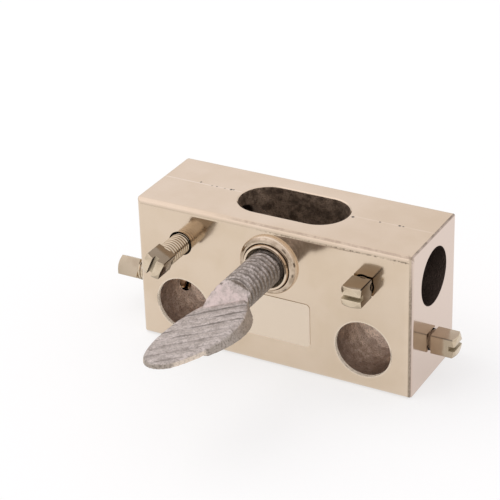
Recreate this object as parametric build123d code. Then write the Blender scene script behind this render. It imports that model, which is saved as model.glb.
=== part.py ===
from build123d import *
import math
import os

# Connector for laboratory rods. Millimetres, +Z up, front towards -Y.
# The origin is on the axis of the long bore, half way along the block.

# Rods and the ways through the block
rod_diameter = 12.7
bore_clearance = 0.15                     # radial, between a rod and its bore
bore_radius = rod_diameter / 2 + bore_clearance
bore_drop = 14.6                          # from the long bore's axis down to the cross bores' axes
cross_bore_x = 22.0                       # from the middle of the block out to each cross bore
slot_reach = rod_diameter / 2             # two rods stand side by side in the slot
rim_bevel = 0.3                           # at the mouths of the bores and the slot

# Cast block
block_length = 66.0
block_depth = 23.5
block_height = 34.0
front_rounding = 1.5
back_rounding = 1.25
corner_rounding = 0.45                    # where the end faces meet the top and the bottom

# Screws: their axes lie a little outside the bores' axes, away from the block's middle height
screw_offset = 0.9
thread_clearance = 0.05                   # radial, between a screw and its tapped hole
tip_recess = 0.1                          # a screw's tip stops this far behind the wall of its bore

# Boss round the thumb screw
boss_radius = 6.8
boss_height = 1.5                         # to the crest of its rounded shoulder
boss_root = 1.5                           # the boss is rooted this deep in the block
boss_rounding = 1.2
groove_depth = 0.2                        # of the narrow groove inside the crest
groove_radius = 5.4
lip_height = 2.1                          # of the lip round the mouth, inside the groove
lip_radius = 5.2
mouth_radius = 4.75
mouth_depth = 1.5

# Thumb screw
thumb_radius = 4.0
thumb_exposed = 13.1                      # thread that shows between the lip and the wing
thumb_tip_bevel = 0.9
wing_length = 30.0
wing_left = 6.9                           # widest reach to the left of the screw's axis, seen from the front
wing_left_at = 0.66                       # where that is, as a share of the wing's length
wing_left_arc = 50.0                      # radius of the left edge from the root to there
wing_right = 7.5                          # the same on the right, where the wing swells sooner
wing_right_at = 0.44
wing_right_arc = 20.0
wing_tip_radius = 4.5
wing_tip_shift = 1.5                      # of the round tip, to the left
wing_root_half_width = 3.0
wing_root_thickness = 4.1                 # the wing thins from here towards its tip
wing_step_at = 0.74                       # a step on the underside, as a share of the wing's length
wing_step_thickness = 1.8
wing_lip_thickness = 1.35
wing_tip_thickness = 1.1
wing_edge_rounding = 0.4
wing_draft = 10.0                         # the wing's edges lean outwards below the flat face
wing_roll = 8.0                           # turn of the wing about the screw's axis at rest
keel_start = 6.0                          # the round shank runs on under the wing, full size up to here
keel_length = 22.0                        # and then tapers into it
keel_end_radius = 1.0
shoulder_reach = 4.2                      # along the axis, from the thread's end to the foot of the slope
shoulder_angle = 43.0                     # slope from the top of the shank down to the flat face
ridge_count = 7
ridge_pitch = 2.95
ridge_height = 0.25
ridge_width = 1.8
ridge_angle = 54.0                        # between the wing's length and the ridges and the slope's foot

# Square-headed set screws
screw_radius = 2.4
screw_tip_bevel = 0.5
screw_mouth_radius = 2.8
head_flats = 4.5
head_length = 5.5
head_corner_bevel = 0.15
head_end_radius = 2.0                     # flat circle left by the turned end of the head
head_end_angle = 30.0                     # slope of the turned end
driver_slot_width = 1.1
driver_slot_depth = 1.4
front_left_shank = 12.0
left_end_shank = 11.3
seated_gap = 0.45                         # under the heads of the two screws that are nearly home

# Bare raised panel on the front face
panel_width = 19.0
panel_height = 10.4
panel_top_drop = 6.9                      # from the long bore's axis down to the panel's top edge
panel_rise = 0.15
panel_root = 0.5                          # the panel is rooted this deep in the block
panel_corner = 1.0

# Places that follow from the sizes above
middle_z = -bore_drop / 2
half_length = block_length / 2
half_depth = block_depth / 2
half_height = block_height / 2
upper_screw_z = screw_offset
lower_screw_z = -bore_drop - screw_offset
bore_wall = math.sqrt(bore_radius**2 - screw_offset**2)
front_wall = half_depth - bore_wall - tip_recess
end_wall = half_length - cross_bore_x - bore_wall - tip_recess
thumb_hole_radius = thumb_radius + thread_clearance
screw_hole_radius = screw_radius + thread_clearance
thumb_tip_y = front_wall - half_depth
wing_root_y = -half_depth - lip_height - thumb_exposed

# Each set screw: foot of its axis on the block's face, the way its head points, the thickness of
# wall up to its tip, its shank's length and the turn of its square head
set_screws = {
    "set_screw_front_left": ((-cross_bore_x, -half_depth, upper_screw_z), (0, -1, 0), front_wall,
                             front_left_shank, 66),
    "set_screw_front_right": ((cross_bore_x, -half_depth, upper_screw_z), (0, -1, 0), front_wall,
                              front_wall + seated_gap, 0),
    "set_screw_left_end": ((-half_length, 0, lower_screw_z), (-1, 0, 0), end_wall, left_end_shank, 121),
    "set_screw_right_end": ((half_length, 0, lower_screw_z), (1, 0, 0), end_wall, end_wall + seated_gap, 0),
}


def face_loop(solid, side):
    """The edges round the block's front (-1) or back (1) face."""
    return [edge for edge in solid.edges() if math.isclose(edge.center().Y, side * half_depth, abs_tol=0.01)]


def long_corners(solid):
    """The edges where the end faces meet the top and the bottom."""
    reach_x = half_length - front_rounding
    reach_z = half_height - front_rounding
    return [edge for edge in solid.edges().filter_by(Axis.Y)
            if abs(edge.center().X) > reach_x and abs(edge.center().Z - middle_z) > reach_z]


def raw_block():
    """The rounded block before anything is cut."""
    solid = Pos(0, 0, middle_z) * Box(block_length, block_depth, block_height)
    solid = fillet(face_loop(solid, -1), front_rounding)
    solid = fillet(face_loop(solid, 1), back_rounding)
    return fillet(long_corners(solid), corner_rounding)


def ways_through():
    """The long bore, the two cross bores and the upright slot, one tool each."""
    long_bore = Rot(0, 90, 0) * Cylinder(bore_radius, 2 * block_length)
    cross_bore = Rot(90, 0, 0) * Cylinder(bore_radius, 2 * block_depth)
    slot = extrude(SlotCenterToCenter(2 * slot_reach, 2 * bore_radius), block_height, both=True)
    return [
        long_bore,
        Pos(-cross_bore_x, 0, -bore_drop) * cross_bore,
        Pos(cross_bore_x, 0, -bore_drop) * cross_bore,
        Pos(0, 0, middle_z) * slot,
    ]


def mouths(solid):
    """The edges where the bores and the slot leave the block's faces."""
    found = []
    for edge in solid.edges():
        spot = edge.center()
        box = edge.bounding_box()
        flat_x = box.size.X < 0.01 and math.isclose(abs(spot.X), half_length, abs_tol=0.01)
        flat_y = box.size.Y < 0.01 and math.isclose(abs(spot.Y), half_depth, abs_tol=0.01)
        flat_z = box.size.Z < 0.01 and math.isclose(abs(spot.Z - middle_z), half_height, abs_tol=0.01)
        inside = abs(spot.X) < half_length - front_rounding and abs(spot.Y) < half_depth - front_rounding
        if flat_x and math.hypot(spot.Y, spot.Z) < bore_radius:
            found.append(edge)
        elif flat_y and math.hypot(abs(spot.X) - cross_bore_x, spot.Z + bore_drop) < bore_radius:
            found.append(edge)
        elif flat_z and inside:
            found.append(edge)
    return found


def boss():
    """The ring round the thumb screw: a rounded shoulder, a narrow groove and the lip of its mouth."""
    shoulder = boss_height - boss_rounding
    outline = [
        Polyline((thumb_hole_radius, -boss_root), (boss_radius, -boss_root), (boss_radius, shoulder)),
        CenterArc((boss_radius - boss_rounding, shoulder), boss_rounding, 0, 90),
        Polyline((boss_radius - boss_rounding, boss_height), (groove_radius, boss_height - groove_depth),
                 (lip_radius, lip_height), (mouth_radius, lip_height),
                 (mouth_radius, lip_height - mouth_depth),
                 (thumb_hole_radius, lip_height - 2 * mouth_depth), (thumb_hole_radius, -boss_root)),
    ]
    ring = revolve(Plane.XZ * make_face(outline), Axis.Z)
    return Plane(origin=(0, -half_depth, upper_screw_z), z_dir=(0, -1, 0)).location * ring


def screw_hole(foot, direction, wall):
    """A small tapped hole from the bore out to the face, opened a little at its mouth."""
    outward = Vector(*direction)
    seat = Plane(origin=Vector(*foot) - outward * (wall + bore_wall), z_dir=outward)
    barrel = Solid.make_cylinder(screw_hole_radius, wall + 2 * bore_wall, seat)
    flare = screw_mouth_radius - screw_hole_radius
    start = Plane(origin=Vector(*foot) - outward * flare, z_dir=outward)
    return barrel + Solid.make_cone(screw_hole_radius, screw_mouth_radius + flare, 2 * flare, start)


def block():
    """The whole casting, one piece."""
    body = raw_block()
    for tool in ways_through():
        body -= tool
    body = chamfer(mouths(body), rim_bevel)
    panel_z = -panel_top_drop - panel_height / 2
    panel = Rot(90, 0, 0) * RectangleRounded(panel_width, panel_height, panel_corner)
    body += Pos(0, panel_root - half_depth, panel_z) * extrude(panel, panel_rise + panel_root)
    thumb_hole = Plane(origin=(0, 0, upper_screw_z), z_dir=(0, -1, 0)).location * Pos(0, 0, half_depth)
    body -= thumb_hole * Cylinder(mouth_radius, 2 * boss_root)
    body -= thumb_hole * Cylinder(thumb_hole_radius, block_depth)
    body += boss()
    for foot, direction, wall, shank, turn in set_screws.values():
        body -= screw_hole(foot, direction, wall)
    return body


def wing_side(reach, widest_share, root_arc, shift, inset):
    """One edge of the leaf: an arc out to its widest place, a second arc and half of the round tip."""
    widest_at = widest_share * wing_length
    tip_centre = Vector(shift, wing_length - wing_tip_radius)
    lead = tip_centre.Y - widest_at
    half = reach - shift
    tip_arc = (half**2 + lead**2 - wing_tip_radius**2) / (2 * (half - wing_tip_radius))
    centre = Vector(reach - tip_arc, widest_at)
    join = centre + (tip_centre - centre).normalized() * (tip_arc - inset)
    across = wing_root_half_width - inset - (reach - root_arc)
    root = Vector(wing_root_half_width - inset, widest_at - math.sqrt((root_arc - inset)**2 - across**2))
    widest = Vector(reach - inset, widest_at)
    return [
        RadiusArc(root, widest, -(root_arc - inset)),
        RadiusArc(widest, join, -(tip_arc - inset)),
        RadiusArc(join, (shift, wing_length - inset), -(wing_tip_radius - inset)),
    ]


def wing_outline(inset):
    """The leaf shape of the wing, or a smaller one inside it."""
    left = wing_side(wing_left, wing_left_at, wing_left_arc, wing_tip_shift, inset)
    right = [mirror(line, about=Plane.YZ)
             for line in wing_side(wing_right, wing_right_at, wing_right_arc, -wing_tip_shift, inset)]
    across = Line(left[0] @ 0, right[0] @ 0)
    return make_face(left + right + [across])


def wing_plate():
    """The leaf, thick at its root and thin at its tip, with its flat face at height 0."""
    step_at = wing_step_at * wing_length
    size = 2 * wing_length
    profile = Polyline((0, 0), (0, -wing_root_thickness), (step_at, -wing_step_thickness),
                       (step_at, -wing_lip_thickness), (size, -wing_tip_thickness), (size, 0), close=True)
    wedge = extrude(Plane.YZ * make_face(profile), size, both=True)
    return extrude(wing_outline(0), -wing_root_thickness, taper=-wing_draft) & wedge


def shank_and_keel():
    """The round part along +Y: the tip, the shank and the keel that fades out under the wing."""
    tip = wing_root_y - thumb_tip_y
    outline = Polyline((0, tip), (thumb_radius - thumb_tip_bevel, tip), (thumb_radius, tip + thumb_tip_bevel),
                       (thumb_radius, keel_start), (keel_end_radius, keel_length), (0, keel_length), close=True)
    return revolve(make_face(outline), Axis.Y)


def thumb_screw():
    """Thumb screw cast in one piece: shank, keel, leaf-shaped wing and the ridges on its flat face."""
    size = 2 * wing_length
    plate = wing_plate()
    rim = [edge for edge in plate.edges() if abs(edge.center().Z) < 0.01 and edge.center().Y > wing_tip_radius]
    plate = fillet(rim, wing_edge_rounding)
    slant = math.radians(ridge_angle)
    along = Vector(math.sin(slant), math.cos(slant), 0)
    rootward = Vector(math.cos(slant), -math.sin(slant), 0)
    rise = math.radians(shoulder_angle)
    slope_normal = Vector(0, 0, math.cos(rise)) - rootward * math.sin(rise)
    foot = Vector(0, shoulder_reach, 0)
    above = Pos(0, 0, size / 2) * Box(size, size, size)
    above_slope = Plane(origin=foot, x_dir=along, z_dir=slope_normal).location * above
    outer_half = Pos(0, size / 2, 0) * Box(size, size, size)
    solid = shank_and_keel() - (above & above_slope & outer_half)
    solid += plate
    ridge_area = extrude(wing_outline(wing_edge_rounding), ridge_height)
    for number in range(ridge_count):
        middle = foot - rootward * (number * ridge_pitch + ridge_width / 2)
        seat = Plane(origin=middle, x_dir=along, z_dir=(0, 0, 1))
        ridge = seat.location * Box(size, ridge_width, 2 * ridge_height)
        solid += ridge & ridge_area
    roll = math.radians(wing_roll)
    seat = Plane(origin=(0, wing_root_y, upper_screw_z), x_dir=(-math.cos(roll), 0, -math.sin(roll)),
                 z_dir=(-math.sin(roll), 0, math.cos(roll)))
    return seat.location * solid.solid()


def set_screw(foot, direction, wall, shank_length, turn):
    """Set screw with a square head whose end is turned to a low cone and slotted."""
    shank = Pos(0, 0, shank_length / 2) * Cylinder(screw_radius, shank_length)
    shank = chamfer(shank.edges().sort_by(Axis.Z)[0], screw_tip_bevel)
    head = extrude(Rectangle(head_flats, head_flats), head_length)
    head = chamfer(head.edges().filter_by(Axis.Z), head_corner_bevel)
    reach = head_flats
    drop = (reach - head_end_radius) * math.tan(math.radians(head_end_angle))
    outline = Polyline((0, 0), (reach, 0), (reach, head_length - drop), (head_end_radius, head_length),
                       (0, head_length), close=True)
    head &= revolve(Plane.XZ * make_face(outline), Axis.Z)
    head -= Pos(0, 0, head_length) * Box(driver_slot_width, 2 * head_flats, 2 * driver_slot_depth)
    screw = shank + Pos(0, 0, shank_length) * Rot(0, 0, turn) * head
    across = (0, 0, 1)
    tip = Vector(*foot) - Vector(*direction) * wall
    return Plane(origin=tip, x_dir=across, z_dir=direction).location * screw


os.makedirs("parts", exist_ok=True)
export_step(block(), "parts/block.step")
export_step(thumb_screw(), "parts/thumb_screw.step")
for name, details in set_screws.items():
    export_step(set_screw(*details), f"parts/{name}.step")
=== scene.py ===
import math

import bmesh
import bpy
from mathutils import Matrix, Vector


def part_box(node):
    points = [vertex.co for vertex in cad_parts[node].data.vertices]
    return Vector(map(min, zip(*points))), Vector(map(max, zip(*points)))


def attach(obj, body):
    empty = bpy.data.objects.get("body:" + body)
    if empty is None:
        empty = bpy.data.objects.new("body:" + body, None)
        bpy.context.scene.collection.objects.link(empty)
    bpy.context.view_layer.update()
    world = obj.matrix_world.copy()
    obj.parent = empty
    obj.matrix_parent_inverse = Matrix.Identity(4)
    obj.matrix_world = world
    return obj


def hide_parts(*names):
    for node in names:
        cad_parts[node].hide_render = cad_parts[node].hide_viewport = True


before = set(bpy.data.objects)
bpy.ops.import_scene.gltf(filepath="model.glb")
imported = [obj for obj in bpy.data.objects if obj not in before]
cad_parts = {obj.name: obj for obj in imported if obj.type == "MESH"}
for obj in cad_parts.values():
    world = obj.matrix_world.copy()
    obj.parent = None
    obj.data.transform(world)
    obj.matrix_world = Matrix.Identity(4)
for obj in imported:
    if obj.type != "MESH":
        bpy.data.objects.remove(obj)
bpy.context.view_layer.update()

# Rod connector: plated block, cast thumb screw and four square-headed set screws.
# Everything is in metres, on the frame's own axes, so x is along the block and the front is at -y.

mm = 0.001
white = (1.0, 1.0, 1.0, 1.0)


def srgb(red, green, blue):
    # screen colour, 0 to 255, to the linear colour that the shaders use
    def linear(value):
        value = value / 255
        return value / 12.92 if value <= 0.04045 else ((value + 0.055) / 1.055) ** 2.4
    return (linear(red), linear(green), linear(blue), 1.0)


def addObject(name, data):
    made = bpy.data.objects.new(name, data)
    bpy.context.scene.collection.objects.link(made)
    return made


# camera
cameraSetup = {
    "place": (0.16733, -0.31690, 0.18931),
    "right": (0.87844, 0.47701, -0.02829),
    "down": (0.20191, -0.42418, -0.88278),
    "lens": 133.7,
    "shift": (-0.0020, -0.0010),
    "nearest": 0.01,
}


def addCamera(setup):
    data = bpy.data.cameras.new("photoCamera")
    data.lens = setup["lens"]
    data.shift_x, data.shift_y = setup["shift"]
    data.clip_start = setup["nearest"]
    camera = addObject("photoCamera", data)
    right = Vector(setup["right"]).normalized()
    up = -Vector(setup["down"]).normalized()
    back = right.cross(up).normalized()
    up = back.cross(right)
    turn = Matrix((right, up, back)).transposed().to_4x4()
    camera.matrix_world = Matrix.Translation(setup["place"]) @ turn
    bpy.context.scene.camera = camera


addCamera(cameraSetup)
print("camera placed")


# node helpers; a value is a socket or a plain number, colour or vector
def feed(value, socket):
    if isinstance(value, bpy.types.NodeSocket):
        socket.id_data.links.new(value, socket)
    else:
        socket.default_value = value


def place(tree, kind, inputs=None, **settings):
    # a node with its settings, and with a value for each input given by name or number
    node = tree.nodes.new(kind)
    for key, value in settings.items():
        setattr(node, key, value)
    for key, value in (inputs or {}).items():
        feed(value, node.inputs[key])
    return node


def treeOf(*values):
    # the node tree that the sockets among the values are in
    return next(value.id_data for value in values if isinstance(value, bpy.types.NodeSocket))


def calc(operation, *values, clamp=False):
    inputs = dict(enumerate(values))
    return place(treeOf(*values), "ShaderNodeMath", inputs, operation=operation, use_clamp=clamp).outputs[0]


def chain(operation, first, *others):
    for value in others:
        first = calc(operation, first, value)
    return first


def plus(*values):
    return chain("ADD", *values)


def minus(first, second):
    return calc("SUBTRACT", first, second)


def times(*values):
    return chain("MULTIPLY", *values)


def over(first, second, clamp=False):
    return calc("DIVIDE", first, second, clamp=clamp)


def most(*values):
    return chain("MAXIMUM", *values)


def below(value, limit):
    return calc("LESS_THAN", value, limit)


def above(value, limit):
    return calc("GREATER_THAN", value, limit)


def away(first, second):
    # how far a point on two axes is from where they cross
    return calc("SQRT", plus(times(first, first), times(second, second)))


def degrees(rise, run):
    return calc("DEGREES", calc("ARCTAN2", rise, run))


def span(value, low, high, toLow=0.0, toHigh=1.0):
    # a soft ramp from toLow at low to toHigh at high
    inputs = {"Value": value, "From Min": low, "From Max": high, "To Min": toLow, "To Max": toHigh}
    node = place(value.id_data, "ShaderNodeMapRange", inputs, clamp=True, interpolation_type="SMOOTHSTEP")
    return node.outputs["Result"]


def near(value, middle, inner, outer):
    # 1 within the inner distance of the middle, and 0 from the outer one
    return span(calc("ABSOLUTE", minus(value, middle)), inner, outer, 1.0, 0.0)


def blend(mask, first, second):
    # the second colour where the mask is 1; 6 and 7 are the Mix node's colours
    tree = treeOf(mask, first, second)
    return place(tree, "ShaderNodeMix", {0: mask, 6: first, 7: second}, data_type="RGBA").outputs[2]


def layered(color, *layers):
    # lays finishes over a colour; each layer is its mask, its amount and its finish
    for mask, amount, finish in layers:
        color = blend(times(mask, amount), color, finish)
    return color


def split(vector):
    return place(vector.id_data, "ShaderNodeSeparateXYZ", {0: vector}).outputs


def joined(tree, x, y, z=0.0):
    return place(tree, "ShaderNodeCombineXYZ", {"X": x, "Y": y, "Z": z}).outputs[0]


def towards(position, direction):
    # how far a position lies in a direction
    inputs = {0: position, 1: direction}
    return place(position.id_data, "ShaderNodeVectorMath", inputs, operation="DOT_PRODUCT").outputs["Value"]


def scaled(vector, share):
    inputs = {0: vector, "Scale": share}
    return place(vector.id_data, "ShaderNodeVectorMath", inputs, operation="SCALE").outputs[0]


def noise(vector, scale, detail, roughness=0.5):
    inputs = {"Vector": vector, "Scale": scale, "Detail": detail, "Roughness": roughness}
    return place(vector.id_data, "ShaderNodeTexNoise", inputs).outputs[0]


def attributeOf(tree, name, output="Fac"):
    node = place(tree, "ShaderNodeAttribute", attribute_type="GEOMETRY", attribute_name=name)
    return node.outputs[output]


def newGroup(name, inputs, outputs, kind="ShaderNodeTree"):
    # inputs are (name, socket type, default) rows, and outputs (name, socket type) rows
    tree = bpy.data.node_groups.new(name, kind)
    for label, socketType, default in inputs:
        socket = tree.interface.new_socket(label, in_out="INPUT", socket_type=socketType)
        if default is not None:
            socket.default_value = default
    for label, socketType in outputs:
        tree.interface.new_socket(label, in_out="OUTPUT", socket_type=socketType)
    return tree, tree.nodes.new("NodeGroupInput").outputs, tree.nodes.new("NodeGroupOutput").inputs


def useGroup(group, vector, values):
    return place(vector.id_data, "ShaderNodeGroup", {"Vector": vector, **values}, node_tree=group).outputs


def newMaterial(name):
    material = bpy.data.materials.new(name)
    material.use_nodes = True
    tree = material.node_tree
    coords = place(tree, "ShaderNodeTexCoord")
    return material, tree, tree.nodes["Principled BSDF"].inputs, coords.outputs


def addBump(tree, shader, height, strength, distance):
    bump = place(tree, "ShaderNodeBump", {"Strength": strength, "Distance": distance, "Height": height})
    feed(bump.outputs[0], shader["Normal"])
    return bump


# shared surface effect
def makeFineSkin():
    # the soft unevenness and the small specks of a plated surface; a size is how many to the metre
    tree, given, result = newGroup("fineSkin", [
        ("Vector", "NodeSocketVector", None),
        ("Wave Size", "NodeSocketFloat", 260.0),
        ("Grain Size", "NodeSocketFloat", 2600.0),
        ("Grain Share", "NodeSocketFloat", 0.25),
        ("Speck Size", "NodeSocketFloat", 900.0),
        ("Speck Amount", "NodeSocketFloat", 0.35),
    ], [("Height", "NodeSocketFloat"), ("Tone", "NodeSocketFloat"), ("Specks", "NodeSocketFloat")])
    waves = noise(given["Vector"], given["Wave Size"], 2.0)
    grain = noise(given["Vector"], given["Grain Size"], 4.0)
    specks = place(tree, "ShaderNodeTexVoronoi", {"Vector": given["Vector"], "Scale": given["Speck Size"]})
    dots = span(specks.outputs["Distance"], 0.05, 0.16, 1.0, 0.0)
    draw = place(tree, "ShaderNodeSeparateColor", {0: specks.outputs["Color"]}).outputs[0]
    mask = times(dots, below(draw, given["Speck Amount"]))
    feed(minus(plus(waves, times(grain, given["Grain Share"])), mask), result["Height"])
    feed(noise(given["Vector"], given["Wave Size"], 5.0), result["Tone"])
    feed(mask, result["Specks"])
    return tree


fineSkin = makeFineSkin()

# block; lengths in millimetres and angles in degrees
blockLook = {
    "plating": srgb(218, 200, 179),
    "platingWarm": srgb(213, 194, 171),
    "platingEnd": srgb(214, 195, 182),
    "topDarkening": srgb(203, 183, 158),
    "panelEdgeShade": srgb(186, 168, 145),
    "bossShade": srgb(166, 147, 126),
    "edgeShade": srgb(104, 90, 76),
    "streakShade": srgb(146, 128, 112),
    "boreWall": srgb(240, 218, 198),
    "boreWallDark": srgb(138, 118, 104),
    "rimHighlight": srgb(226, 210, 190),
    "partingHighlight": srgb(244, 232, 218),
    # dark wall colour for the small flaws, and painted shade deep in the long bore
    "deepWall": srgb(90, 77, 69),
    "slotWall": srgb(178, 156, 136),
    "slotWallDark": srgb(104, 88, 74),
    "mouthWall": srgb(214, 196, 168),
    "shadow": srgb(24, 20, 18),
    "skin": {"Wave Size": 110.0, "Grain Size": 2600.0, "Grain Share": 0.08, "Speck Size": 620.0,
             "Speck Amount": 0.03},
    "blotches": 0.55,           # how many to the millimetre
    "grit": 3.2,
    "roughness": 0.12,
    "wallRoughness": 0.46,
    "bump": (0.8, 0.1 * mm),    # strength and distance
    # how much less than metal some places are, and how high or deep some marks are in the bump
    "lessMetal": {"inner": 0.12, "mouthWall": 0.5, "step": 0.85, "bossSide": 0.3, "rim": 0.2},
    "heights": {"skin": 0.16, "walls": 2.2, "parting": 0.12, "lines": -0.35, "pits": -1.5},
    "boreRadius": 6.5,
    "wallMargin": 0.05,         # how far past its radius a bore's wall still counts
    "bevelReach": 0.29,         # width of the bevel round a cross bore's mouth
    "rimDepth": (0.7, 0.95),    # where its rim with the painted highlight ends, behind the front face
    "crossX": 22.0,
    "crossDrop": 14.6,
    "slotReach": 6.35,
    "frontFace": -11.75,
    "topFace": 9.7,
    "bottomFace": -24.3,
    "endFace": 33.0,
    "faceMargin": 0.05,
    "panelTop": -6.9,
    "panelRise": 0.15,
    "rounding": 1.5,
    "cornerRounding": 0.45,
    "upperScrewZ": 0.9,
    "lowerScrewZ": -15.5,
    "holeMouth": 2.83,
    "holeRadius": 2.5,
    "mouthRadius": 4.78,
    "mouthFoot": -10.85,
    "grooveRadius": 5.42,
    "grooveFoot": 0.5,          # from the front face outwards
    "bossRadius": 6.8,
    "bossFoot": 0.08,
    # a width is where a mark is full and where it ends, on either side of its middle
    "seamWidth": (0.15, 1.5),
    "seamWander": 7.0,
    "grooveWidth": (0.05, 0.16),
    "partingY": 0.65,
    "partingWidth": (0.05, 0.28),
    "lowEdgeWidth": (0.08, 0.26),
    "pitRaggedness": 0.3,
    # painted light: how much paler a rough wall gets per millimetre backwards and upwards, and where its
    # tone is the middle one, before the block's mid depth and below the axis of the cross bores
    "paler": (0.016, 0.014),
    "middleTone": (2.0, 1.0),
    "deepFrom": (12.5, 14.0),   # where painted shade darkens the long bore, from the middle outwards
    "holeFrom": (-0.3, 0.1),    # where painted shadow starts in the thumb screw's hole, from the mouth's foot inwards
    # lines of painted shade and a streak of painted reflection on the roundings: angle and half width
    "topLine": (11.0, 9.0),
    "topStreak": (58.0, 18.0),
    "sideLine": (50.0, 20.0),
    # how marks fade along x, or along z for the side line: from, to and the amounts there
    "topLineFade": (-8.0, 10.0, 0.08, 1.0),
    "topStreakFade": (-18.0, -2.0, 0.1, 1.0),
    "sideLineFade": (8.5, -1.0, 0.35, 0.9),
    "partingFade": (-26.0, 8.0, 1.0, 0.35),
    "topDarkeningFade": (-2.0, 30.0, 0.0, 1.0),
    # painted dark reflections on the boss: angle, half angle, radius and half width
    "bossDarkReflections": ((47.0, 9.0, 6.3, 0.2), (-8.0, 5.0, 6.25, 0.22), (-48.0, 8.0, 6.3, 0.16)),
    # small pits along the parting line on top: x, y and radius
    "pits": ((-23.8, 1.2, 0.16), (-20.7, 0.7, 0.10), (-19.5, 0.75, 0.13), (-17.4, 0.65, 0.10),
             (-15.9, 0.75, 0.22), (-15.3, 0.9, 0.15), (14.0, 0.25, 0.24), (20.2, 0.55, 0.15),
             (24.7, 0.7, 0.20), (25.5, 0.75, 0.14)),
}


def findBlockPlaces(position, look):
    # where on the block a point is, as distances in millimetres and as masks
    point = scaled(position, 1 / mm)
    x, y, z = split(point)
    acrossX = calc("ABSOLUTE", x)
    at = {"point": point, "x": x, "y": y, "z": z, "upperZ": minus(z, look["upperScrewZ"])}
    # walls of the ways through, each told by its distance from its own axis
    wallLimit = look["boreRadius"] + look["wallMargin"]
    longWall = below(away(y, z), wallLimit)
    at["deep"] = times(longWall, span(acrossX, *look["deepFrom"]))
    fromCross = away(minus(acrossX, look["crossX"]), plus(z, look["crossDrop"]))
    crossWall = below(fromCross, wallLimit)
    at["slotWall"] = below(away(most(minus(acrossX, look["slotReach"]), 0.0), y), wallLimit)
    rimDepth = span(minus(y, look["frontFace"]), *look["rimDepth"], 1.0, 0.0)
    at["rim"] = times(rimDepth, below(fromCross, look["boreRadius"] + look["bevelReach"]))
    at["fromThumb"] = away(x, at["upperZ"])
    frontHalf = below(y, -look["boreRadius"])
    at["mouthWall"] = times(below(at["fromThumb"], look["mouthRadius"]), frontHalf)
    # painted shadow inside the tapped holes, and on the left inside their flares too
    fromFrontHole = away(minus(acrossX, look["crossX"]), at["upperZ"])
    fromEndHole = away(y, minus(z, look["lowerScrewZ"]))
    at["onEnd"] = above(acrossX, look["crossX"] + look["boreRadius"])
    rightHand = above(x, 0.0)

    def nearHoles(reach):
        inFront = times(below(fromFrontHole, reach), frontHalf)
        return most(inFront, times(below(fromEndHole, reach), at["onEnd"]))

    flareWidth = look["holeMouth"] - look["holeRadius"]
    at["holes"] = nearHoles(minus(look["holeMouth"], times(rightHand, flareWidth)))
    at["flares"] = times(nearHoles(look["holeMouth"]), rightHand)
    at["inner"] = most(longWall, crossWall, at["slotWall"], at["mouthWall"], at["holes"])
    return at


def patchy(blotch, low, high):
    # a mark that comes and goes, between two amounts
    return span(blotch, 0.35, 0.6, low, high)


def wallColorAndShade(at, blotch, grit, look):
    # rough walls: blotches, a ragged seam at mid depth, small dark flaws, and painted light and shade inside
    # them
    backwards = times(plus(at["y"], look["middleTone"][0]), look["paler"][0])
    upwards = times(plus(at["z"], look["crossDrop"] + look["middleTone"][1]), look["paler"][1])
    softened = plus(times(blotch, 0.6), 0.2)
    tone = plus(softened, plus(backwards, upwards))
    seam = near(plus(at["y"], times(minus(blotch, 0.5), look["seamWander"])), 0.0, *look["seamWidth"])
    slotColor = blend(span(blotch, 0.35, 0.65), look["slotWallDark"], look["slotWall"])
    holeShadow = span(minus(at["y"], look["mouthFoot"]), *look["holeFrom"])
    return layered(blend(span(tone, 0.26, 0.72), look["boreWallDark"], look["boreWall"]),
                   (seam, 0.5, look["boreWallDark"]),
                   (at["slotWall"], 1.0, slotColor),
                   (span(grit, 0.53, 0.64), 0.6, look["deepWall"]),
                   (at["deep"], 1.0, look["deepWall"]),
                   (at["mouthWall"], 1.0, blend(holeShadow, look["mouthWall"], look["shadow"])),
                   (at["holes"], 1.0, look["shadow"]))


def findEdgeLines(at, blotch, speckle, look):
    # painted shade: a thin ragged line low on the top rounding, a line down the right front rounding and a
    # line where the top meets the right end; and a painted reflection, a soft streak above the first
    outY = minus(look["frontFace"] + look["rounding"], at["y"])
    upZ = minus(at["z"], look["topFace"] - look["rounding"])
    outX = minus(at["x"], look["endFace"] - look["rounding"])

    def roundingLine(rise, middle, half):
        line = near(degrees(rise, outY), middle, half * 0.4, half)
        return times(line, times(above(rise, 0.0), above(outY, 0.0)))

    broken = span(blotch, 0.4, 0.56, 0.25, 1.0)
    topLine = times(roundingLine(upZ, *look["topLine"]), broken, speckle)
    topLine = times(topLine, span(at["x"], *look["topLineFade"]))
    sideLine = times(roundingLine(outX, *look["sideLine"]), span(at["z"], *look["sideLineFade"]))
    sideLine = times(sideLine, span(speckle, 0.0, 1.0, 0.7, 1.0))
    cornerX = above(at["x"], look["endFace"] - look["cornerRounding"])
    cornerZ = span(at["z"], look["topFace"] - look["cornerRounding"], look["topFace"] - look["faceMargin"])
    endLine = times(cornerX, cornerZ, patchy(blotch, 0.4, 0.9))
    streak = times(roundingLine(upZ, *look["topStreak"]), patchy(blotch, 0.45, 0.9))
    return most(topLine, sideLine, endLine), times(streak, span(at["x"], *look["topStreakFade"]))


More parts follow.
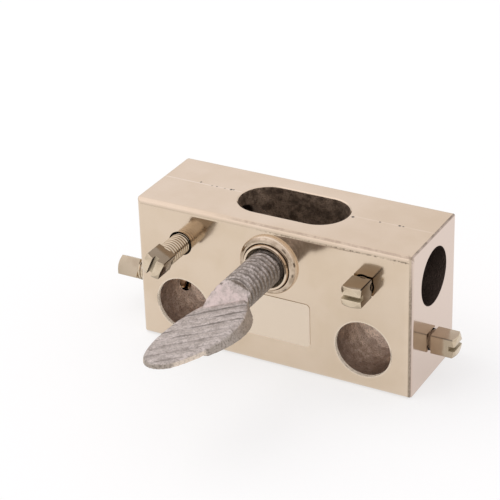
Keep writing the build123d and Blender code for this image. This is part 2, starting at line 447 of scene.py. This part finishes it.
def findBossShading(at, blotch, look):
    # painted shade in the groove round the mouth and on the band outside it, painted dark reflections beside
    # the groove, and a painted highlight on the boss's side
    fromThumb, side = at["fromThumb"], look["bossRadius"]
    onBoss = below(at["y"], look["frontFace"] - look["bossFoot"])
    groove = near(fromThumb, look["grooveRadius"], *look["grooveWidth"])
    groove = times(groove, below(at["y"], look["frontFace"] - look["grooveFoot"]))
    angleAt = degrees(at["upperZ"], at["x"])
    for angle, halfAngle, radius, half in look["bossDarkReflections"]:
        mark = times(near(angleAt, angle, halfAngle * 0.3, halfAngle), onBoss)
        groove = most(groove, times(mark, near(fromThumb, radius, half * 0.5, half)))
    band = times(span(fromThumb, look["grooveRadius"], look["grooveRadius"] + 0.5),
                 span(fromThumb, side - 0.25, side - 0.05, 1.0, 0.0))
    band = times(band, onBoss, span(blotch, 0.4, 0.6, 0.3, 0.9))
    # painted highlight on the boss's outer side
    at["bossSide"] = times(onBoss, span(fromThumb, side - 0.2, side))
    return groove, band


def findTopMarks(at, blotch, grit, look):
    # the parting line along the top face, with a painted highlight on it, and its pits
    parting = times(at["onTop"], near(at["y"], look["partingY"], *look["partingWidth"]))
    parting = times(parting, span(at["x"], *look["partingFade"]), patchy(blotch, 0.5, 1.0))
    ragged = times(minus(grit, 0.5), look["pitRaggedness"])
    spots = []
    for pitX, pitY, radius in look["pits"]:
        gap = plus(away(minus(at["x"], pitX), minus(at["y"], pitY)), ragged)
        spots.append(span(gap, radius, radius * 1.7, 1.0, 0.0))
    return parting, times(most(*spots), at["onTop"])


def makeBlockMaterial(look):
    material, tree, shader, coords = newMaterial("platedCasting")
    skin = useGroup(fineSkin, coords["Object"], look["skin"])
    at = findBlockPlaces(coords["Object"], look)
    at["onTop"] = above(at["z"], look["topFace"] - look["faceMargin"])
    blotch = noise(at["point"], look["blotches"], 6.0, 0.68)
    grit = noise(at["point"], look["grit"], 4.0)
    speckle = span(grit, 0.38, 0.62)
    lines, streak = findEdgeLines(at, blotch, speckle, look)
    groove, band = findBossShading(at, blotch, look)
    parting, pits = findTopMarks(at, blotch, grit, look)
    # painted shade: a thin dark line along the lower edges, and a soft line on the low step round the panel,
    # which faces aside
    normal = place(tree, "ShaderNodeNewGeometry").outputs["Normal"]
    lowEdge = span(minus(at["z"], look["bottomFace"]), *look["lowEdgeWidth"], 1.0, 0.0)
    step = times(below(calc("ABSOLUTE", split(normal)["Y"]), 0.5), below(at["z"], look["panelTop"] + 0.3))
    step = times(step, below(at["y"], look["frontFace"]))
    at["step"] = times(step, above(at["y"], look["frontFace"] - look["panelRise"] - 0.01))
    # the top is darker towards the right
    topDarkening = times(span(at["x"], *look["topDarkeningFade"]), span(skin["Tone"], 0.2, 0.8, 0.5, 1.0), at["onTop"])
    color = layered(blend(span(skin["Tone"], 0.3, 0.7), look["plating"], look["platingWarm"]),
                    (topDarkening, 0.8, look["topDarkening"]),
                    # the right end face has a painted tone of its own, for the light that falls on it
                    (above(at["x"], look["endFace"] - 0.3), 1.0, look["platingEnd"]),
                    (band, 1.0, look["bossShade"]),
                    (streak, 0.75, look["streakShade"]),
                    (most(lines, groove), 0.85, look["edgeShade"]),
                    (parting, 0.5, look["partingHighlight"]),
                    (times(lowEdge, patchy(blotch, 0.35, 0.8)), 0.7, look["edgeShade"]),
                    (at["step"], 1.0, look["panelEdgeShade"]),
                    (at["bossSide"], 1.0, look["rimHighlight"]),
                    (pits, 0.9, look["shadow"]),
                    (at["inner"], 1.0, wallColorAndShade(at, blotch, grit, look)),
                    # painted highlight on the rims of the cross bores
                    (at["rim"], 1.0, look["rimHighlight"]))
    feed(color, shader["Base Color"])
    dull = plus(*(times(at[part], amount) for part, amount in look["lessMetal"].items()))
    feed(calc("SUBTRACT", 1.0, dull, clamp=True), shader["Metallic"])
    plain = plus(look["roughness"], times(skin["Specks"], 0.2), times(lines, 0.25))
    walls = times(at["inner"], minus(look["wallRoughness"], times(at["rim"], 0.2)))
    feed(most(plain, walls), shader["Roughness"])
    rough = times(minus(at["inner"], at["holes"]), grit)
    relief = {"skin": skin["Height"], "walls": rough, "parting": parting, "lines": times(lines, speckle),
              "pits": pits}
    height = plus(*(times(relief[part], amount) for part, amount in look["heights"].items()))
    bump = addBump(tree, shader, height, *look["bump"])
    # the small flares under the heads that are nearly home and the rims of the cross bores mirror more like
    # the face around them; 4 and 5 are the Mix node's vectors
    level = joined(tree, at["onEnd"], minus(at["onEnd"], 1.0))
    share = most(at["flares"], times(at["rim"], 0.65))
    shown = place(tree, "ShaderNodeMix", {0: share, 4: normal, 5: level}, data_type="VECTOR")
    feed(shown.outputs[1], bump.inputs["Normal"])
    return material


blockMaterial = makeBlockMaterial(blockLook)
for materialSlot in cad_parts["block"].material_slots:
    materialSlot.material = blockMaterial
print("block finished")


# threads
def crestOf(turns, low, high):
    # 1 on the crest of a thread and 0 in its root, from how many turns along it a point is
    phase = calc("FRACT", turns)
    return span(calc("ABSOLUTE", minus(times(phase, 2.0), 1.0)), low, high)


def finishTree(tree, geometry, crest, move, given, result, weld=None):
    # keeps how near the crest each point is for the material, moves the points, and ends the tree
    inputs = {"Name": "crest", "Geometry": geometry, "Value": crest}
    kept = place(tree, "GeometryNodeStoreNamedAttribute", inputs, data_type="FLOAT", domain="POINT")
    last = place(tree, "GeometryNodeSetPosition", {"Geometry": kept.outputs["Geometry"], **move})
    if weld is not None:
        inputs = {"Geometry": last.outputs["Geometry"], "Distance": weld}
        last = place(tree, "GeometryNodeMergeByDistance", inputs)
    real = place(tree, "GeometryNodeRealizeInstances", {"Geometry": last.outputs["Geometry"]})
    inputs = {"Geometry": real.outputs["Geometry"], "Material": given["Material"]}
    feed(place(tree, "GeometryNodeSetMaterial", inputs).outputs["Geometry"], result["Geometry"])
    return tree


def makeRolledThread():
    # a closed screw shank along z, its tip at 0, with a right-hand thread rolled on it
    tree, given, result = newGroup("rolledThread", [
        ("Geometry", "NodeSocketGeometry", None),
        ("Length", "NodeSocketFloat", 12.0 * mm),
        ("Radius", "NodeSocketFloat", 2.4 * mm),
        ("Pitch", "NodeSocketFloat", 0.79 * mm),
        ("Depth", "NodeSocketFloat", 0.36 * mm),
        ("Tip Bevel", "NodeSocketFloat", 0.5 * mm),
        ("Neck Length", "NodeSocketFloat", 0.0),
        ("Neck Radius", "NodeSocketFloat", 2.25 * mm),
        ("Sides", "NodeSocketInt", 48),
        ("Rows Per Turn", "NodeSocketInt", 10),
        ("Material", "NodeSocketMaterial", None),
    ], [("Geometry", "NodeSocketGeometry")], kind="GeometryNodeTree")
    rows = calc("CEIL", times(over(given["Length"], given["Pitch"]), given["Rows Per Turn"]))
    grid = place(tree, "GeometryNodeMeshGrid", {"Size X": 1.0, "Size Y": 1.0})
    feed(plus(given["Sides"], 1.0), grid.inputs["Vertices X"])
    feed(plus(rows, 3.0), grid.inputs["Vertices Y"])
    here = split(place(tree, "GeometryNodeInputPosition").outputs[0])
    aroundShare = plus(here["X"], 0.5)
    row = calc("ROUND", times(plus(here["Y"], 0.5), plus(rows, 2.0)))
    # the first and the last row close the two ends
    height = times(over(minus(row, 1.0), rows, clamp=True), given["Length"])
    body = times(above(row, 0.5), below(row, plus(rows, 1.5)))
    crest = crestOf(minus(over(height, given["Pitch"]), aroundShare), 0.12, 0.85)
    threaded = minus(given["Radius"], times(given["Depth"], minus(1.0, crest)))
    widest = minus(given["Radius"], most(minus(given["Tip Bevel"], height), 0.0))
    neck = above(height, minus(given["Length"], given["Neck Length"]))
    onThread = minus(1.0, neck)
    necked = plus(times(neck, given["Neck Radius"]), times(onThread, threaded))
    radius = times(calc("MINIMUM", necked, widest), body)
    angle = times(aroundShare, 2 * math.pi)
    spot = joined(tree, times(radius, calc("COSINE", angle)), times(radius, calc("SINE", angle)), height)
    shown = minus(times(crest, onThread), neck)
    return finishTree(tree, grid.outputs["Mesh"], shown, {"Position": spot}, given, result, weld=0.002 * mm)


def makeCastThread():
    # cuts a coarse thread into a cast shank that runs along -y, and roughens the whole casting
    tree, given, result = newGroup("castThread", [
        ("Geometry", "NodeSocketGeometry", None),
        ("Axis Height", "NodeSocketFloat", 0.9 * mm),
        ("Thread End", "NodeSocketFloat", -26.95 * mm),
        ("Radius", "NodeSocketFloat", 4.0 * mm),
        ("Pitch", "NodeSocketFloat", 1.41 * mm),
        ("Depth", "NodeSocketFloat", 0.5 * mm),
        ("Run Out", "NodeSocketFloat", 3.0 * mm),
        ("Lump Size", "NodeSocketFloat", 620.0),
        ("Lump Height", "NodeSocketFloat", 0.10 * mm),
        ("Grain Size", "NodeSocketFloat", 2100.0),
        ("Grain Height", "NodeSocketFloat", 0.09 * mm),
        ("Material", "NodeSocketMaterial", None),
    ], [("Geometry", "NodeSocketGeometry")], kind="GeometryNodeTree")
    position = place(tree, "GeometryNodeInputPosition").outputs[0]
    x, y, height = split(position)
    z = minus(height, given["Axis Height"])
    reach = minus(given["Thread End"], y)
    radius = away(x, z)
    turn = over(calc("ARCTAN2", z, x), 2 * math.pi)
    lump = noise(position, given["Lump Size"], 2.0)
    grain = noise(position, given["Grain Size"], 3.0)
    level = 0.62    # the noise at which the skin neither swells nor sinks
    uneven = times(minus(lump, 0.5), 0.55)
    crest = crestOf(plus(minus(over(reach, given["Pitch"]), turn), uneven), 0.15, 0.8)
    onShank = span(radius, times(given["Radius"], 0.88), times(given["Radius"], 0.95))
    share = times(onShank, span(reach, 0.0, given["Run Out"], 1.0, 0.0))
    cut = times(minus(1.0, crest), given["Depth"], share)
    swell = times(minus(lump, level), given["Lump Height"])
    pimples = times(minus(grain, level), given["Grain Height"])
    outward = scaled(place(tree, "GeometryNodeInputNormal").outputs[0], plus(swell, pimples))
    inward = joined(tree, times(over(x, radius), cut, -1.0), 0.0, times(over(z, radius), cut, -1.0))
    offset = place(tree, "ShaderNodeVectorMath", {0: outward, 1: inward}, operation="ADD").outputs[0]
    shown = plus(times(crest, share), minus(1.0, share))
    return finishTree(tree, given["Geometry"], shown, {"Offset": offset}, given, result)


# meshes
def bakeObject(holder):
    # the evaluated object as a plain mesh, without the object
    depsgraph = bpy.context.evaluated_depsgraph_get()
    made = bpy.data.meshes.new_from_object(holder.evaluated_get(depsgraph))
    bpy.data.objects.remove(holder)
    return made


def runTree(tree, values, mesh=None):
    # evaluates a geometry tree on a mesh, or on an empty one
    holder = addObject("worker", mesh or bpy.data.meshes.new("worker"))
    modifier = holder.modifiers.new("tree", "NODES")
    modifier.node_group = tree
    for socket in tree.interface.items_tree:
        if socket.item_type == "SOCKET" and socket.in_out == "INPUT" and socket.name in values:
            modifier[socket.identifier] = values[socket.name]
    return bakeObject(holder)


def copyOfNode(name):
    # merged copy of a CAD node's mesh, as a bmesh
    shape = bmesh.new()
    shape.from_mesh(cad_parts[name].data)
    bmesh.ops.remove_doubles(shape, verts=shape.verts, dist=0.003 * mm)
    return shape


def meshOf(shape, name):
    mesh = bpy.data.meshes.new(name)
    shape.to_mesh(mesh)
    shape.free()
    return mesh


def addPiece(name, mesh, node):
    piece = addObject(name, mesh)
    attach(piece, node)
    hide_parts(node)
    return piece


# set screws
screwLook = {
    "nickel": srgb(214, 198, 174),
    "nickelWarm": srgb(201, 184, 160),
    "flat": srgb(113, 98, 80),
    "root": srgb(150, 135, 116),
    "slot": srgb(178, 163, 135),
    "slotDark": srgb(80, 68, 58),
    "neck": srgb(134, 118, 100),
    "edge": srgb(44, 38, 36),
    "under": srgb(112, 100, 78),
    "skin": {"Wave Size": 300.0, "Grain Size": 3600.0, "Grain Share": 0.15, "Speck Size": 1500.0,
             "Speck Amount": 0.08},
    "roughness": 0.10,
    "bump": (0.12, 0.1 * mm),   # strength and distance
    "edgeFrom": (1.95, 2.11),   # where the dark edge line starts and is full, in millimetres from the axis
}
screwSizes = {
    "headLength": 5.5 * mm,
    "radius": 2.4 * mm,
    "pitch": 0.79 * mm,
    "threadDepth": 0.17 * mm,
    "tipBevel": 0.5 * mm,
    "edgeBevel": 0.09 * mm,
    "overlap": 0.3 * mm,
    "headGap": 0.005 * mm,      # how far above its foot the head is cut off the solid
    "neck": 1.4 * mm,           # plain neck under the heads that are nearly home
    "slotDepth": 1.4 * mm,
    "slotWidth": 1.1 * mm,
    "slotFloor": 0.55,          # how far the slot's painted shade covers its floor
    "bevelAbove": 24.0,         # degrees between two faces from which their edge is softened
    "sharpThread": 60.0,        # degrees from which an edge stays sharp in the shading
    "sharpHead": 30.0,
}


def makeScrewMaterial(look):
    material, tree, shader, coords = newMaterial("brightNickel")
    skin = useGroup(fineSkin, coords["Object"], look["skin"])
    # crest is 1 on a thread's crest and on the head, 0 in its root and -1 on the plain neck
    crest, flat, slot, edgeLineShade = (attributeOf(tree, name) for name in ("crest", "flat", "slot", "edgeLineShade"))
    # painted shade in the driver slot, darker on the walls of the screws that stand out
    inSlot = blend(attributeOf(tree, "slotWallShade"), look["slot"], look["slotDark"])
    # painted shade: a dark line along the edge between the upper flat and the right one, or the front one on
    # an end screw
    across = split(attributeOf(tree, "across", "Vector"))
    corner = span(calc("MINIMUM", across["X"], across["Y"]), *look["edgeFrom"])
    color = layered(blend(span(skin["Tone"], 0.35, 0.65), look["nickel"], look["nickelWarm"]),
                    # painted shade in the thread's roots and on the plain neck
                    (span(crest, 0.0, 0.75, 1.0, 0.0), 1.0, look["root"]),
                    (span(crest, -0.9, -0.2, 1.0, 0.0), 1.0, look["neck"]),
                    # painted shade on the head's flats
                    (flat, 1.0, look["flat"]),
                    (slot, 1.0, inSlot),
                    # painted shade on the undersides
                    (span(split(coords["Normal"])["Z"], -0.7, -0.1, 1.0, 0.0), 0.6, look["under"]),
                    (times(corner, edgeLineShade), 1.0, look["edge"]))
    feed(color, shader["Base Color"])
    feed(minus(1.0, times(slot, 0.6)), shader["Metallic"])
    worn = plus(times(skin["Tone"], 0.12), times(slot, 0.25))
    feed(plus(worn, look["roughness"]), shader["Roughness"])
    addBump(tree, shader, skin["Height"], *look["bump"])
    return material


def headPart(face, tip, outward, length, sizes):
    # which part of a square head a face belongs to: its end, one of its flats or the driver slot
    middle = face.calc_center_median() - tip
    depth = length - middle.dot(outward)
    lean = face.normal.dot(outward)     # 1 on a face that looks outwards, and 0 on a side
    fromAxis = abs(middle.dot(face.normal))
    if abs(lean) < 0.3 and fromAxis < sizes["slotWidth"]:
        return "slot", 1.0
    if lean > 0.9 and depth > 0.8 * sizes["slotDepth"]:
        return "slot", sizes["slotFloor"]
    return ("flat", 1.0) if lean < 0.3 else ("end", 0.0)


def makeHead(name, cutAt, outward, sizes):
    # the square head alone, cut off the solid and closed there, with soft edges
    head = copyOfNode(name)
    bmesh.ops.bisect_plane(head, geom=head.verts[:] + head.edges[:] + head.faces[:],
                           plane_co=cutAt, plane_no=outward, clear_inner=True)
    bmesh.ops.holes_fill(head, edges=[edge for edge in head.edges if edge.is_boundary])
    bmesh.ops.dissolve_limit(head, angle_limit=math.radians(1.0), verts=head.verts, edges=head.edges)
    limit = math.radians(sizes["bevelAbove"])
    sharp = [edge for edge in head.edges if edge.is_manifold and edge.calc_face_angle() > limit]
    bmesh.ops.bevel(head, geom=sharp, offset=sizes["edgeBevel"], segments=2, profile=0.5, affect="EDGES",
                    clamp_overlap=True)
    bmesh.ops.recalc_face_normals(head, faces=head.faces)
    return meshOf(head, name)


def addSetScrew(name, outward, seated, flatShade, edgeLineShade, sizes, material, tree):
    low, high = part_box(name)
    outward = Vector(outward)
    sideways = Vector((1, 0, 0)) if abs(outward.y) > 0.5 else Vector((0, -1, 0))
    length = abs((high - low).dot(outward))
    tip = (low + high) / 2 - outward * (length / 2)
    shank = length - sizes["headLength"]
    neck = sizes["overlap"] + sizes["neck"] if seated else 0.0
    thread = runTree(tree, {"Length": shank + sizes["overlap"], "Radius": sizes["radius"],
                            "Pitch": sizes["pitch"], "Depth": sizes["threadDepth"],
                            "Tip Bevel": sizes["tipBevel"], "Neck Length": neck, "Material": material})
    thread.transform(Matrix.Translation(tip) @ outward.to_track_quat("Z", "Y").to_matrix().to_4x4())
    whole = bmesh.new()
    whole.from_mesh(thread)
    bmesh.ops.recalc_face_normals(whole, faces=whole.faces)
    threadCount = len(whole.verts)
    whole.from_mesh(makeHead(name, tip + outward * (shank + sizes["headGap"]), outward, sizes))
    whole.verts.ensure_lookup_table()
    whole.verts.index_update()
    # what the material reads: how near the crest, where across the head and how dark its painted edge line
    acrossLayer = whole.verts.layers.float_vector.new("across")
    edgingLayer = whole.verts.layers.float.new("edgeLineShade")
    crestLayer = whole.verts.layers.float["crest"]
    for vert in whole.verts:
        fromTip = vert.co - tip
        vert[acrossLayer] = Vector((fromTip.dot(sideways), fromTip.z, 0)) / mm
        if vert.index >= threadCount:
            vert[crestLayer] = 1.0
            vert[edgingLayer] = edgeLineShade
    marks = {part: whole.faces.layers.float.new(part) for part in ("flat", "slot", "slotWallShade")}
    for face in whole.faces:
        face.smooth = True
        face.material_index = 0
        if face.verts[0].index < threadCount:
            continue
        part, share = headPart(face, tip, outward, length, sizes)
        if part == "flat":
            upright = abs(face.normal.dot(sideways)) > 0.7
            share = share * flatShade[upright]
        if part in marks:
            face[marks[part]] = share
        if part == "slot" and share == 1.0 and not seated:
            face[marks["slotWallShade"]] = 1.0
    for edge in whole.edges:
        limit = sizes["sharpThread"] if edge.verts[0].index < threadCount else sizes["sharpHead"]
        if not edge.is_manifold or edge.calc_face_angle() > math.radians(limit):
            edge.smooth = False
    mesh = meshOf(whole, name + "Threaded")
    mesh.materials.append(material)
    piece = addPiece(name + "Threaded", mesh, name)


rolledThread = makeRolledThread()
screwMaterial = makeScrewMaterial(screwLook)
# each screw: the way its head points, whether it is nearly home, how much painted shade lies on its level
# and its upright flats, and how dark its painted edge line is
setScrews = {
    "set_screw_front_left": ((0, -1, 0), False, (0.75, 1.0), 0.0),
    "set_screw_front_right": ((0, -1, 0), True, (0.7, 1.0), 0.9),
    "set_screw_left_end": ((-1, 0, 0), False, (0.25, 0.25), 0.0),
    "set_screw_right_end": ((1, 0, 0), True, (0.42, 0.36), 0.5),
}
for screwName, screwSetting in setScrews.items():
    addSetScrew(screwName, *screwSetting, screwSizes, screwMaterial, rolledThread)
print("set screws finished")

# thumb screw
thumbLook = {
    "light": srgb(208, 197, 190),
    "mid": srgb(184, 173, 165),
    "dark": srgb(108, 100, 92),
    "side": srgb(154, 143, 132),
    "thinEdgeHighlight": srgb(234, 217, 197),
    "shank": srgb(122, 112, 104),
    "slope": srgb(218, 198, 192),
    "root": srgb(120, 111, 103),
    "skin": {"Wave Size": 700.0, "Grain Size": 4200.0, "Grain Share": 0.9, "Speck Size": 1900.0,
             "Speck Amount": 0.3},
    "pits": 2600.0,
    "metal": 0.75,
    "roughness": 0.44,
    "bump": (0.5, 0.12 * mm),   # strength and distance
}
thumbSizes = {
    "voxel": 0.15 * mm,
    "smoothing": 3,
    "axisHeight": 0.9 * mm,
    "threadEnd": -26.95 * mm,
    "pitch": 1.41 * mm,
    "threadDepth": 0.24 * mm,
    "runOut": 8.0 * mm,
    # the rest is in millimetres and degrees; the step and the tip are measured from the thread's end
    "roll": 8.0,
    "ridgeAngle": 54.0,
    "ridgePitch": 2.95,
    "ridgeStart": 4.2,
    "lineAt": 1.92,             # from the foot of each ridge to the dark line beyond it
    "lineWidth": (0.06, 0.28),
    "lineFade": (5.0, 13.0, 1.0, 0.55),
    "shankFrom": (-1.5, 2.5),
    "stepAt": 22.2,
    "tipAt": 28.6,
}


def makeCastMaterial(look, sizes):
    material, tree, shader, coords = newMaterial("roughCastNickel")
    position = coords["Object"]
    skin = useGroup(fineSkin, position, look["skin"])
    pitted = noise(position, look["pits"], 3.0)
    grit = span(pitted, 0.48, 0.62)
    facingUp = split(coords["Normal"])["Z"]
    # ways along the wing, which is turned a little about the screw's axis
    roll, slant = math.radians(sizes["roll"]), math.radians(sizes["ridgeAngle"])
    backward = Vector((0, 1, 0))
    leftward = Vector((-math.cos(roll), 0, -math.sin(roll)))
    faceNormal = Vector((-math.sin(roll), 0, math.cos(roll)))
    rootward = leftward * math.cos(slant) + backward * math.sin(slant)
    ridgeward = backward * math.cos(slant) - leftward * math.sin(slant)
    origin = Vector((0, sizes["threadEnd"], sizes["axisHeight"]))

    def along(direction):
        # millimetres from the thread's end
        return times(minus(towards(position, direction), origin.dot(direction)), 1 / mm)

    reach = along(-backward)
    fromFoot = plus(times(along(rootward), -1.0), -sizes["ridgeStart"] * math.sin(slant))
    alongRidge = along(ridgeward)

    def fileMarks(across, lengthwise, detail):
        # noise drawn out along the ridges
        return noise(joined(tree, times(fromFoot, across), times(alongRidge, lengthwise)), 1.0, detail)

    # painted shade: the edges and the underside are darker than the flat face, except the thin edge past the
    # step, which has a painted highlight
    onSide = span(facingUp, 0.15, 0.6, 1.0, 0.0)
    thin = times(span(reach, sizes["stepAt"] - 0.4, sizes["stepAt"] + 0.6),
                 span(reach, sizes["tipAt"] - 0.8, sizes["tipAt"] + 0.8, 1.0, 0.1))
    sideShadeColor = blend(thin, look["side"], look["thinEdgeHighlight"])
    # dark lines of painted shade in the low places between the slanting ridges, and scratches along them
    coarse, fine = fileMarks(0.75, 0.1, 2.0), fileMarks(3.4, 0.28, 3.0)
    phase = calc("MODULO", plus(fromFoot, times(minus(fine, 0.5), 0.5)), sizes["ridgePitch"])
    line = times(near(phase, sizes["lineAt"], *sizes["lineWidth"]), span(coarse, 0.42, 0.56, 0.1, 1.0))
    line = times(line, span(fromFoot, *sizes["lineFade"]))
    onFace = times(span(fromFoot, 0.2, 0.8), span(along(faceNormal), -0.35, -0.1))
    # painted highlight: the shoulder that slopes down from the thread to the flat face is pale where it
    # faces up
    onSlope = times(span(fromFoot, -0.2, 0.5, 1.0, 0.0), span(facingUp, 0.5, 0.7), span(reach, -0.6, 2.2))
    # the shank is duller and grainier than the wing, and its thread shows in patches
    onShank = span(along(backward), *sizes["shankFrom"])
    root = span(attributeOf(tree, "crest"), 0.0, 0.85, 1.0, 0.0)
    color = layered(blend(span(skin["Tone"], 0.36, 0.64), look["light"], look["mid"]),
                    (grit, 0.4, look["dark"]),
                    (onSide, 0.8, sideShadeColor),
                    (times(onSide, grit), span(thin, 0.0, 1.0, 0.6, 0.25), look["dark"]),
                    (times(onFace, span(fine, 0.5, 0.64)), 0.4, look["dark"]),
                    (times(line, onFace), 0.8, look["dark"]),
                    (onSlope, span(skin["Tone"], 0.4, 0.62, 0.7, 0.3), look["slope"]),
                    (onShank, 0.3, look["shank"]),
                    (times(onShank, span(pitted, 0.4, 0.6)), 0.75, look["shank"]),
                    # painted shade in the thread's roots
                    (root, span(skin["Tone"], 0.4, 0.58, 0.4, 1.0), look["root"]))
    feed(color, shader["Base Color"])
    feed(look["metal"], shader["Metallic"])
    feed(plus(look["roughness"], times(skin["Specks"], 0.2)), shader["Roughness"])
    addBump(tree, shader, skin["Height"], *look["bump"])
    return material


def addThumbScrew(sizes, material, tree):
    # the solid is remeshed finely enough to carry the cast skin and the thread
    holder = addObject("worker", meshOf(copyOfNode("thumb_screw"), "thumbPlain"))
    remesh = holder.modifiers.new("remesh", "REMESH")
    remesh.mode = "VOXEL"
    remesh.voxel_size = sizes["voxel"]
    remesh.adaptivity = 0.0
    soft = bmesh.new()
    soft.from_mesh(bakeObject(holder))
    for _ in range(sizes["smoothing"]):
        bmesh.ops.smooth_vert(soft, verts=soft.verts, factor=0.5,
                              use_axis_x=True, use_axis_y=True, use_axis_z=True)
    mesh = runTree(tree, {"Axis Height": sizes["axisHeight"], "Thread End": sizes["threadEnd"],
                          "Pitch": sizes["pitch"], "Depth": sizes["threadDepth"], "Run Out": sizes["runOut"],
                          "Material": material}, meshOf(soft, "thumbSoft"))
    mesh.name = "thumbScrewCast"
    for face in mesh.polygons:
        face.use_smooth = True
    if material.name not in mesh.materials:
        mesh.materials.append(material)
    piece = addPiece("thumbScrewCast", mesh, "thumb_screw")


castMaterial = makeCastMaterial(thumbLook, thumbSizes)
addThumbScrew(thumbSizes, castMaterial, makeCastThread())
print("thumb screw finished")

# floor, background and light
floorSetup = {"size": 6.0, "color": (0.38, 0.375, 0.37, 1.0), "glow": 0.62, "roughness": 0.9}


def addFloor(setup):
    half = setup["size"] / 2
    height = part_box("block")[0].z
    mesh = bpy.data.meshes.new("floor")
    corners = [(x, y, height) for x, y in ((-half, -half), (half, -half), (half, half), (-half, half))]
    mesh.from_pydata(corners, [], [(0, 1, 2, 3)])
    floor = addObject("floor", mesh)
    material, _, shader, _ = newMaterial("paleFloor")
    feed(setup["color"], shader["Base Color"])
    feed(setup["roughness"], shader["Roughness"])
    feed(0.0, shader["Specular IOR Level"])
    feed(white, shader["Emission Color"])
    feed(setup["glow"], shader["Emission Strength"])
    mesh.materials.append(material)


lightSetup = {
    "world": 0.78,
    "skyTop": (1.06, 1.035, 1.07, 1.0),
    "skySide": (0.80, 0.79, 0.78, 1.0),
    "keySize": 4.0,
    "keyGlow": 1.12,            # radiance of the large soft key, where 1 is white
    "keyPlace": (-2.36, -0.55, 2.73),
    "keyPatch": 0.2,            # how much brighter the background is where the metal mirrors the key
    "patchFrom": (0.75, 0.96),  # cosine of the angle to the key, where the patch starts and is full
    "topFrom": (-0.1, 0.55),    # heights between which the sky turns from its side's to its top's colour
}


def addLight(setup):
    world = bpy.data.worlds.new("studio")
    bpy.context.scene.world = world
    world.use_nodes = True
    tree = world.node_tree
    tree.nodes.clear()
    direction = place(tree, "ShaderNodeTexCoord").outputs["Generated"]
    keyPlace = Vector(setup["keyPlace"])
    sky = blend(span(split(direction)["Z"], *setup["topFrom"]), setup["skySide"], setup["skyTop"])
    towardsKey = towards(direction, keyPlace.normalized())
    patch = span(towardsKey, *setup["patchFrom"], 1.0, 1.0 + setup["keyPatch"])

    def background(color, strength):
        return place(tree, "ShaderNodeBackground", {"Color": color, "Strength": strength}).outputs[0]

    def either(choice, first, second):
        # the second where the choice is 1
        return place(tree, "ShaderNodeMixShader", {0: choice, 1: first, 2: second}).outputs[0]

    # the object is lit by the plain sky, mirrors the sky with the patch, and stands before plain white
    path = place(tree, "ShaderNodeLightPath").outputs
    around = either(path["Is Glossy Ray"], background(sky, setup["world"]), background(sky, patch))
    seen = either(path["Is Camera Ray"], around, background(white, 1.0))
    place(tree, "ShaderNodeOutputWorld", {"Surface": seen})
    lamp = bpy.data.lights.new("softKey", "AREA")
    lamp.size = setup["keySize"]
    lamp.energy = setup["keyGlow"] * math.pi * setup["keySize"] ** 2
    holder = addObject("softKey", lamp)
    holder.location = keyPlace
    holder.rotation_mode = "QUATERNION"
    holder.rotation_quaternion = (-keyPlace).to_track_quat("-Z", "Y")
    holder.visible_glossy = False


addFloor(floorSetup)
addLight(lightSetup)
bpy.context.scene.view_settings.view_transform = "Standard"
print("floor and light placed")
